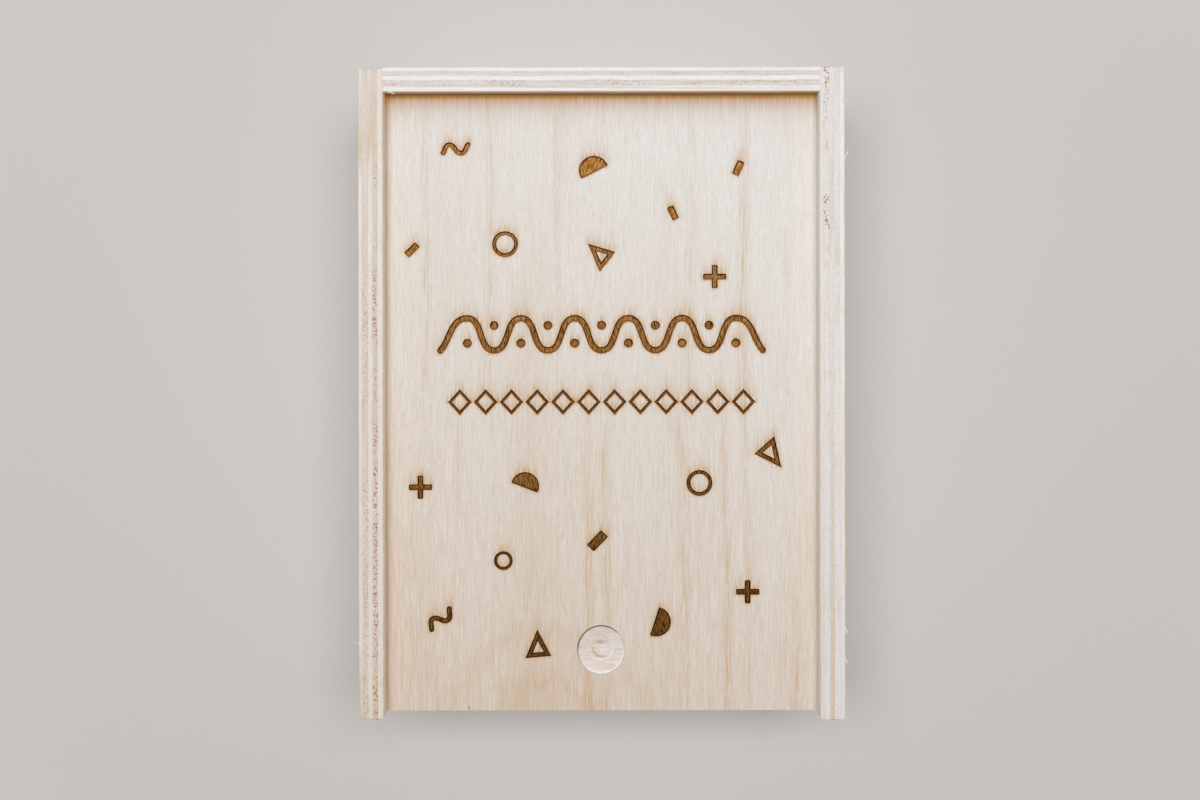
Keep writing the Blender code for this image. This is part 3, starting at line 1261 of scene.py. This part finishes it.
def veneer(tree, place, along, look, offset=(0, 0, 0), rings=None, tint=None):
    """Colour and relief of birch veneer, peeled off the log, whose grain runs
    along an axis. look gives its light and its tan colour and its pores' colour,
    and how strongly its rings, its tan patches, its fibres and its pores show.
    rings take the place of its own rings, and tint adds to its tan."""
    light, tan, pore, ring_share, patch_share, fibre_share, pore_share = look
    drawn_out = add(tree, "Mapping", place, offset, None, squeezed(along, 0.045))
    blotch = add(tree, "TexNoise", drawn_out, 60.0, 2.0)
    showing = add(
        tree, "MapRange", blotch, 0.35, 0.60, 0.0, ring_share, interpolation_type="SMOOTHSTEP"
    )
    ring_tone = add(
        tree, "Math", rings or peeled_rings(tree, drawn_out), showing, operation="MULTIPLY"
    )
    patches = add(tree, "Mapping", place, offset, None, squeezed(along, 0.2))
    cloud = add(tree, "TexNoise", patches, 30.0, 2.0)
    patch = add(
        tree, "MapRange", cloud, 0.45, 0.75, 0.0, patch_share, interpolation_type="SMOOTHSTEP"
    )
    tone = add(tree, "Math", ring_tone, patch, operation="ADD")
    if tint:
        tone = add(tree, "Math", tone, tint, operation="ADD")
    wood = add(tree, "Mix", tone, light, tan, data_type="RGBA")
    # Fibres of about 0.5 mm by 10 mm
    fibre = add(tree, "TexNoise", drawn_out, 1900.0, 4.0, 0.7)
    dark_fibre = add(tree, "MapRange", fibre, 0.35, 0.65, 0.0, fibre_share)
    # Pores of 0.1 mm by 1 mm, drawn 0.25 mm by 2.5 mm so that they show
    stretch = add(tree, "Mapping", place, offset, None, squeezed(along, 0.10))
    pits = add(tree, "TexNoise", stretch, 4200.0, 1.5)
    pit = add(tree, "MapRange", pits, 0.46, 0.75, 0.0, pore_share)
    dark = add(tree, "Math", dark_fibre, pit, operation="ADD")
    colour = add(tree, "Mix", dark, wood, pore, data_type="RGBA")
    return colour, add(tree, "Math", fibre, pit, operation="SUBTRACT")


def line_inside(tree, split, skin, relief, inside, groove_shade, colour):
    """Lay the colour of a wall's inner veneer over its own colour, and then painted
    shade in the burnt colour where the lid meets the wall. skin is where the veneer
    is, and the argument after inside says how strong that painted shade is."""
    burnt = bpy.context.scene.keepsake_colours.burnt
    fine = add(tree, "MapRange", relief, 0.0, 1.0, 0.7, 1.0)
    inner = add(tree, "Math", skin, fine, operation="MULTIPLY")
    colour = add(tree, "Mix", inner, colour, inside, data_type="RGBA")
    # Painted shade where the lid meets the wall, in the burnt colour, strongest at the lid's face
    from_lid = add(tree, "Math", split.outputs[Z], LID[1].z, operation="SUBTRACT")
    beside = add(tree, "Math", from_lid, operation="ABSOLUTE")
    near = add(tree, "MapRange", beside, *GROOVE_SHADE_REACH, 0.0, groove_shade)
    share = add(tree, "Math", near, skin, operation="MULTIPLY")
    return add(tree, "Mix", share, colour, burnt, data_type="RGBA")


def stain_lid(tree, place, relief, colour):
    """Lay the smoke round the engraving, in wisps, and the painted shade from the
    walls along the lid's edges over the lid's own colour."""
    colours = bpy.context.scene.keepsake_colours
    smoke = add(tree, "Attribute", attribute_name="smoke")
    wisps = add(tree, "Mapping", place, None, None, squeezed(Y, 0.10))
    puffs = add(tree, "TexNoise", wisps, 2200.0, 2.0)
    uneven = add(tree, "MapRange", puffs, 0.32, 0.64, 0.1, 1.15)
    stain = add(tree, "Math", smoke.outputs["Fac"], uneven, operation="MULTIPLY")
    colour = add(tree, "Mix", stain, colour, colours.scorch, data_type="RGBA")
    # Painted shade from the walls, streaky, running from its faint colour to its deep one
    edge_shade = add(tree, "Attribute", attribute_name="edge_shade")
    streaky = add(tree, "MapRange", relief, 0.2, 0.6, 0.75, 1.25)
    edge = add(tree, "Math", edge_shade.outputs["Fac"], streaky, operation="MULTIPLY")
    shade_depth = add(tree, "MapRange", edge, 0.3, 0.95)
    stain = add(tree, "Mix", shade_depth, colours.faint_edge_shade, colours.edge_shade, data_type="RGBA")
    return add(tree, "Mix", edge, colour, stain, data_type="RGBA")


def plywood(name, through, face, thickness, grain, sheet, looks, inside=None, is_lid=False):
    """Birch plywood, sawn and sanded: a pale silky veneer with tan rings, and
    edges striped by its plies, whose end grain is flecked. through is the axis
    through the sheet, face is where its outer face is, and grain is the axis that
    the face veneer's grain runs along. looks are those of its long plies and of
    its cross plies. inside is its inner face's colour."""
    colours = bpy.context.scene.keepsake_colours
    material, tree, shader = new_material(name, 0.62)
    place = add(tree, "TexCoord").outputs["Object"]
    split = add(tree, "SeparateXYZ", place)
    reach = add(tree, "Math", split.outputs[through], operation="ABSOLUTE")
    depth = add(tree, "MapRange", reach, face, face - thickness, clamp=False)
    # Plies sway by 0.3 mm, and their edges are ragged by 0.1 mm
    sway = add(tree, "TexNoise", place, 90.0, 6.0, 0.62)
    centred = add(tree, "Math", sway, 0.5, operation="SUBTRACT")
    swayed = add(tree, "Math", centred, 0.11, depth, operation="MULTIPLY_ADD")
    # Red marks the cross plies, green the glue between plies, and blue how
    # flecked a ply is, which is more towards the inner face
    stops = [(0.0, (0, 0, 0, 1))]
    for number, end in enumerate(sheet["plies"], 1):
        flecked = sheet["outer_flecks"] if number == 1 else 1.0
        stops.append((end - GLUE_SHARE / 2, (0, 1, 0, 1)))
        stops.append((end + GLUE_SHARE / 2, (number % 2, 0, number % 2 * flecked, 1)))
    ramp = add(tree, "ValToRGB", swayed, stops=stops)
    ramp.color_ramp.interpolation = "CONSTANT"
    plies = add(tree, "SeparateColor", ramp)
    is_cross, is_glue, flecked = plies.outputs
    cross = 3 - through - grain
    long_look, cross_look = looks
    if is_lid:
        rings, tint = lid_rings(tree, place, split), lid_tint(tree, place, split)
    else:
        rings = None
        # Paler towards the back: partly the veneer's tone and partly painted sheen
        by_front = add(
            tree, "MapRange", split.outputs[Y], *SHEEN_AND_TAN_REACH, 0.0, sheet["sheen_and_front_tan"]
        )
        # The middle ply turns most
        inwards = add(
            tree, "ValToRGB", depth, stops=[(0.2, grey(0.35)), (0.5, grey(1.0)), (0.9, grey(0.58))]
        )
        tint = add(tree, "Math", by_front, inwards, operation="MULTIPLY")
    long_colour, long_relief = veneer(tree, place, grain, long_look, rings=rings, tint=tint)
    cross_colour, cross_relief = veneer(tree, place, cross, cross_look, CROSS_OFFSET)
    # End grain is flecked with brown, about 0.6 mm each, in clusters
    dots = add(tree, "Mapping", place, None, None, squeezed(cross, 0.15))
    fleck = add(tree, "TexNoise", dots, 1750.0, 3.0)
    sharp = add(tree, "MapRange", fleck, 0.53, 0.61, interpolation_type="SMOOTHSTEP")
    groups = add(tree, "Mapping", place, None, None, squeezed(grain, 0.4))
    cluster = add(tree, "TexNoise", groups, 160.0, 2.0)
    leaning = add(
        tree, "Math", split.outputs[Y], sheet["lean"], cluster, operation="MULTIPLY_ADD"
    )
    many = add(
        tree, "MapRange", leaning, sheet["rare"], sheet["rare"] + 0.14, 0.0, sheet["flecks"],
        interpolation_type="SMOOTHSTEP",
    )
    clustered = add(tree, "Math", sharp, many, operation="MULTIPLY")
    flecks = add(tree, "Math", clustered, flecked, operation="MULTIPLY")
    # The saw left streaks along the board, about 0.5 mm wide
    lines = add(tree, "Mapping", place, None, None, squeezed(grain, 0.04))
    saw = add(tree, "TexNoise", lines, 1400.0, 3.0, 0.6)
    streak = add(tree, "MapRange", saw, 0.42, 0.66, 0.0, sheet["streaks"])
    tan = add(tree, "Math", flecked, sheet["cross_tan"], operation="MULTIPLY")
    cross_colour = add(tree, "Mix", tan, cross_colour, colours.core_ply, data_type="RGBA")
    cross_colour = add(tree, "Mix", streak, cross_colour, colours.pore, data_type="RGBA")
    colour = add(tree, "Mix", is_cross, long_colour, cross_colour, data_type="RGBA")
    colour = add(tree, "Mix", flecks, colour, colours.fleck, data_type="RGBA")
    seam = add(tree, "Math", is_glue, 0.25, operation="MULTIPLY")
    colour = add(tree, "Mix", seam, colour, colours.pore, data_type="RGBA")
    if inside:
        skin = add(tree, "MapRange", depth, *SKIN)
        colour = line_inside(tree, split, skin, long_relief, inside, sheet["groove_shade"], colour)
    if is_lid:
        colour = stain_lid(tree, place, long_relief, colour)
    relief = add(tree, "Mix", is_cross, long_relief, cross_relief, data_type="FLOAT")
    relief = add(tree, "Math", relief, flecks, operation="SUBTRACT")
    bump = add(tree, "Bump", 0.35, 0.00008, None, relief)
    finish_material(tree, shader, colour, bump)
    return material


def torn_fibre():
    """A birch fibre torn from a sawn edge: clean, silky and nearly white."""
    colours = bpy.context.scene.keepsake_colours
    material, tree, shader = new_material("torn_birch_fibre", 0.5)
    place = add(tree, "TexCoord").outputs["Object"]
    strand = add(tree, "TexNoise", place, 3000.0, 2.0)
    colour = add(tree, "Mix", strand, colours.white_ply, colours.long_ply, data_type="RGBA")
    finish_material(tree, shader, colour, add(tree, "Bump", 0.3, 0.00005, None, strand))
    return material


def wall_looks(long_ply, cross_ply, tan_patches):
    """Looks of a wall's long plies, sawn and sanded pale, and of its cross plies,
    whose tan patches may be strong or weak."""
    colours = bpy.context.scene.keepsake_colours
    return (
        (long_ply, colours.heartwood, colours.pore, 0.4, 0.08, 0.14, 0.18),
        (cross_ply, colours.core_ply, colours.pore, 0.2, tan_patches, 0.20, 0.24),
    )


def panel_looks():
    """Looks of the long plies and of the cross plies, of lid and base."""
    colours = bpy.context.scene.keepsake_colours
    return (
        (colours.veneer, colours.heartwood, colours.fibre, 1.0, 0.14, 0.14, 0.20),
        (colours.cross_ply, colours.core_ply, colours.pore, 0.3, 0.7, 0.3, 0.3),
    )


def burnt_wood():
    """Birch burnt by a laser: matt brown, with its grain still there, and the burn
    gets deeper towards the lid's front. Its walls carry painted shade and painted light:
    dark char on its back walls, which face away from the lamp, and a lighter reddish
    brown on its front ones, which face it."""
    colours = bpy.context.scene.keepsake_colours
    material, tree, shader = new_material(
        "laser_burnt_birch", 0.9, **{"Specular IOR Level": 0.05}
    )
    place = add(tree, "TexCoord").outputs["Object"]
    split = add(tree, "SeparateXYZ", place)
    deep = add(tree, "MapRange", split.outputs[Y], *DEEPER_BURN)
    # Burnt grain, about 0.3 mm wide
    drawn_out = add(tree, "Mapping", place, None, None, squeezed(Y, 0.12))
    fibre = add(tree, "TexNoise", drawn_out, 4200.0, 3.0, 0.65)
    floors = [
        add(tree, "ValToRGB", fibre, stops=list(zip((0.36, 0.46, 0.60), tones)))
        for tones in (
            (colours.char, colours.burnt, colours.toasted),
            (colours.deep_char, colours.deep_burnt, colours.deep_toasted),
        )
    ]
    floor = add(tree, "Mix", deep, *floors, data_type="RGBA")
    facing = add(tree, "SeparateXYZ", add(tree, "NewGeometry").outputs["Normal"])
    # Painted shade and painted light: walls facing away from the lamp take the dark colour, walls
    # facing it the lighter one, and near the lid's front the deep colours do the same
    front = add(tree, "MapRange", facing.outputs[Y], -0.2, 0.5)
    walls = [
        add(tree, "Mix", front, back_wall, front_wall, data_type="RGBA")
        for back_wall, front_wall in (
            (colours.char, colours.lit_side_burn), (colours.deep_char, colours.deep_burnt),
        )
    ]
    wall = add(tree, "Mix", deep, *walls, data_type="RGBA")
    level = add(tree, "MapRange", facing.outputs[Z], 0.80, 0.98)
    colour = add(tree, "Mix", level, wall, floor, data_type="RGBA")
    bump = add(tree, "Bump", 0.6, 0.0001, None, fibre)
    finish_material(tree, shader, colour, bump)
    return material


def bored_wood(middle, bore_radius):
    """Birch that a bit has bored: whitish, matt and torn along its grain, with the
    bit's rings, on which lie arcs of painted shade in tan and of painted highlight in
    white, painted shade of the pit by its middle, and painted shade and a painted
    highlight on its rim. middle is the bore's middle."""
    colours = bpy.context.scene.keepsake_colours
    material, tree, shader = new_material("bored_birch", 0.7, **{"Specular IOR Level": 0.3})
    place = add(tree, "TexCoord").outputs["Object"]
    # Torn fibres about 0.6 mm wide, across the lid
    drawn_out = add(tree, "Mapping", place, None, None, squeezed(X, 0.12))
    fibre = add(tree, "TexNoise", drawn_out, 1500.0, 4.0, 0.65)
    torn = add(tree, "MapRange", fibre, 0.40, 0.72, 0.0, 0.50)
    colour = add(tree, "Mix", torn, colours.bored, colours.heartwood, data_type="RGBA")
    round_shape = (1, 1 / RECESS_STRETCH, 0)
    offset = add(
        tree, "Mapping", place, (-middle.x, -middle.y / RECESS_STRETCH, 0), None, round_shape
    )
    radius = add(tree, "VectorMath", offset, operation="LENGTH")
    bearing = add(tree, "VectorMath", offset, operation="NORMALIZE")
    from_boss = add(tree, "VectorMath", offset, BOSS_SHIFT, operation="DISTANCE")
    marks = add(
        tree, "ValToRGB", add(tree, "MapRange", from_boss, 0.0, bore_radius),
        stops=[(share, (*levels, 1.0)) for share, levels in BIT_SHADE_AND_HIGHLIGHT],
    )
    arcs = add(tree, "SeparateColor", marks)
    patchy = add(
        tree, "MapRange", add(tree, "TexNoise", place, 450.0, 3.0), 0.35, 0.60, 0.4, 1.0
    )
    # Arcs of painted shade in tan and of painted highlight in white on the bit's rings
    for arc, side, mark in zip(
        arcs.outputs, SHADE_AND_HIGHLIGHT_SIDES, (colours.heartwood, colours.heartwood, colours.white_ply)
    ):
        turned_to = add(tree, "VectorMath", bearing, side, operation="DOT_PRODUCT")
        facing = add(tree, "MapRange", turned_to, 0.1, 0.8, 0.1, 1.0)
        showing = add(tree, "Math", arc, facing, operation="MULTIPLY")
        share = add(tree, "Math", showing, patchy, operation="MULTIPLY")
        colour = add(tree, "Mix", share, colour, mark, data_type="RGBA")
    # Painted shade of the pit beside the middle, in the burnt colour, and painted shade on the
    # rim's back side
    from_spot = add(tree, "VectorMath", offset, PIT_SHADE_SPOT, operation="SUBTRACT")
    drawn_spot = add(tree, "VectorMath", from_spot, PIT_SHADE_SHAPE, operation="MULTIPLY")
    away = add(tree, "VectorMath", drawn_spot, operation="LENGTH")
    blurred = add(tree, "Math", fibre, PIT_SHADE_BLUR, away, operation="MULTIPLY_ADD")
    pit_shade = add(tree, "MapRange", blurred, *PIT_SHADE_EDGE, 0.0, 0.62)
    colour = add(tree, "Mix", pit_shade, colour, colours.burnt, data_type="RGBA")
    # Painted shade on the rim's back side, away from the lamp
    heading = add(tree, "VectorMath", bearing, RIM_SHADE_SIDE, operation="DOT_PRODUCT")
    side = add(tree, "MapRange", heading, 0.1, 0.65, 0.0, 0.95)
    from_ring = add(tree, "VectorMath", offset, RIM_SHADE_SHIFT, operation="DISTANCE")
    ring = add(tree, "MapRange", from_ring, *RIM_SHADE_RING)
    rim_shade_share = add(tree, "Math", ring, side, operation="MULTIPLY")
    colour = add(tree, "Mix", rim_shade_share, colour, colours.rim_shade, data_type="RGBA")
    # Painted highlight on the rim's front side, where the lit wall shows, in the plies' white
    rim = add(tree, "MapRange", radius, *LIT_RIM_RING)
    lit_side = add(tree, "MapRange", heading, 0.0, -0.7, 0.0, 0.6)
    rim_highlight = add(tree, "Math", rim, lit_side, operation="MULTIPLY")
    colour = add(tree, "Mix", rim_highlight, colour, colours.white_ply, data_type="RGBA")
    # The bit's own rings, 2 mm apart
    rings = add(
        tree, "TexWave", offset, 500.0, 0.6, 1.0, wave_type="RINGS", rings_direction="Z"
    )
    relief = add(tree, "Math", rings, 0.2, fibre, operation="MULTIPLY_ADD")
    bump = add(tree, "Bump", 0.6, 0.0002, None, relief)
    finish_material(tree, shader, colour, bump)
    return material


def drawn_steel():
    """Drawn steel wire: bright, with fine lines along it."""
    colours = bpy.context.scene.keepsake_colours
    material, tree, shader = new_material("drawn_steel_wire", 0.35, Metallic=1.0)
    place = add(tree, "TexCoord").outputs["Object"]
    drawn_out = add(tree, "Mapping", place, None, None, squeezed(X, 0.05))
    lines = add(tree, "TexNoise", drawn_out, 9000.0, 2.0)
    rough = add(tree, "MapRange", lines, 0.0, 1.0, 0.25, 0.50)
    tree.links.new(result(rough), shader.inputs["Roughness"])
    shader.inputs["Base Color"].default_value = colours.steel
    return material


# Stage

# The camera, found by matching the box's edges: its place, its lens in millimetres,
# how far its picture is shifted, how far it is turned, and the nearest thing seen
CAMERA_PLACE = (-0.00047, 0.02863, 0.498)
CAMERA_LENS = 41.5
CAMERA_SHIFT = -1 / 12
CAMERA_ROLL = radians(-0.1)
CAMERA_CLIP = 0.01

# The floor's width, the distances from its middle between which its plain colour
# takes over, and how bright that colour is there
FLOOR_SIZE = 12.0
FLOOR_FADE = (0.17, 0.50)
FAR_LIGHT = 0.93

# How strong the fill from all sides is, and the lamp's place, size and power
WORLD_LIGHT = 0.26
KEY_PLACE = (-0.02, 0.20, 1.15)
KEY_SIZE = (0.8, 0.38)
KEY_POWER = 9.8


def seen(tree):
    """1 for what the camera sees, straight or in a mirror, and 0 for light."""
    path = add(tree, "LightPath")
    straight, mirrored = path.outputs["Is Camera Ray"], path.outputs["Is Glossy Ray"]
    return add(tree, "Math", straight, mirrored, operation="MAXIMUM")


class MakeStage(Operator):
    """Set the floor, the light and the camera"""

    bl_idname = "keepsake.stage"
    bl_label = "Stage"

    def execute(self, context):
        scene = context.scene
        scene.view_settings.view_transform = "Standard"
        self.add_floor(scene.keepsake_colours.floor)
        self.add_light(scene)
        bpy.ops.object.camera_add(location=CAMERA_PLACE, rotation=(0, 0, CAMERA_ROLL))
        camera = context.object
        camera.name = "camera"
        camera.data.lens = CAMERA_LENS
        camera.data.shift_y = CAMERA_SHIFT
        camera.data.clip_start = CAMERA_CLIP
        scene.camera = camera
        return {"FINISHED"}

    def add_floor(self, colour):
        """A plain pale floor. Far from the box, where the lamp's light fades, it
        shows its plain colour instead."""
        bpy.ops.mesh.primitive_plane_add(size=FLOOR_SIZE)
        material, tree, shader = new_material("floor_paint", 0.9)
        shader.inputs["Base Color"].default_value = colour
        place = add(tree, "TexCoord").outputs["Object"]
        away = add(tree, "VectorMath", place, operation="LENGTH")
        far = add(tree, "MapRange", away, *FLOOR_FADE, interpolation_type="SMOOTHSTEP")
        share = add(tree, "Math", far, seen(tree), operation="MULTIPLY")
        mixed = add(tree, "MixShader", share, shader, add(tree, "Emission", colour, FAR_LIGHT))
        tree.links.new(mixed.outputs[0], tree.nodes["Material Output"].inputs["Surface"])
        settle("floor", material)

    def add_light(self, scene):
        """A wide soft lamp high above the box, in an even warm fill."""
        colours = scene.keepsake_colours
        world = bpy.data.worlds.new("studio")
        world.use_nodes = True
        tree = world.node_tree
        fill = tree.nodes["Background"]
        fill.inputs["Strength"].default_value = WORLD_LIGHT
        fill.inputs["Color"].default_value = colours.fill
        backdrop = add(tree, "Background", colours.floor, FAR_LIGHT)
        mixed = add(tree, "MixShader", seen(tree), fill, backdrop)
        tree.links.new(mixed.outputs[0], tree.nodes["World Output"].inputs["Surface"])
        scene.world = world
        aim = (-Vector(KEY_PLACE)).to_track_quat("-Z", "Y").to_euler()
        bpy.ops.object.light_add(type="AREA", location=KEY_PLACE, rotation=aim)
        lamp = bpy.context.object
        lamp.name = "key_lamp"
        lamp.data.shape = "RECTANGLE"
        lamp.data.size, lamp.data.size_y = KEY_SIZE
        lamp.data.energy = KEY_POWER
        lamp.data.color = colours.key[:3]


class KeepsakeBoxPanel(Panel):
    """Lists the box's pieces, sizes and colours"""

    bl_idname = "KEEPSAKE_PT_box"
    bl_label = "Keepsake Box"
    bl_space_type = "VIEW_3D"
    bl_region_type = "UI"
    bl_category = "Keepsake Box"

    def draw(self, context):
        layout = self.layout
        for operator in MAKERS:
            layout.operator(operator.bl_idname)
        for group in (context.scene.keepsake_sizes, context.scene.keepsake_colours):
            column = layout.column(align=True)
            for name in group.__annotations__:
                column.prop(group, name)


MAKERS = (MakeWalls, MakeBase, MakeBrads, MakeLid, MakeStage)
CLASSES = (KeepsakeBoxSizes, KeepsakeBoxColours, *MAKERS, KeepsakeBoxPanel)


def register():
    for cls in CLASSES:
        bpy.utils.register_class(cls)
    bpy.types.Scene.keepsake_sizes = PointerProperty(type=KeepsakeBoxSizes)
    bpy.types.Scene.keepsake_colours = PointerProperty(type=KeepsakeBoxColours)


def unregister():
    del bpy.types.Scene.keepsake_colours
    del bpy.types.Scene.keepsake_sizes
    for cls in reversed(CLASSES):
        bpy.utils.unregister_class(cls)


def main():
    """Make every piece."""
    register()
    bpy.ops.keepsake.walls()
    bpy.ops.keepsake.base()
    bpy.ops.keepsake.brads()
    bpy.ops.keepsake.lid()
    bpy.ops.keepsake.stage()


if __name__ == "__main__":
    main()
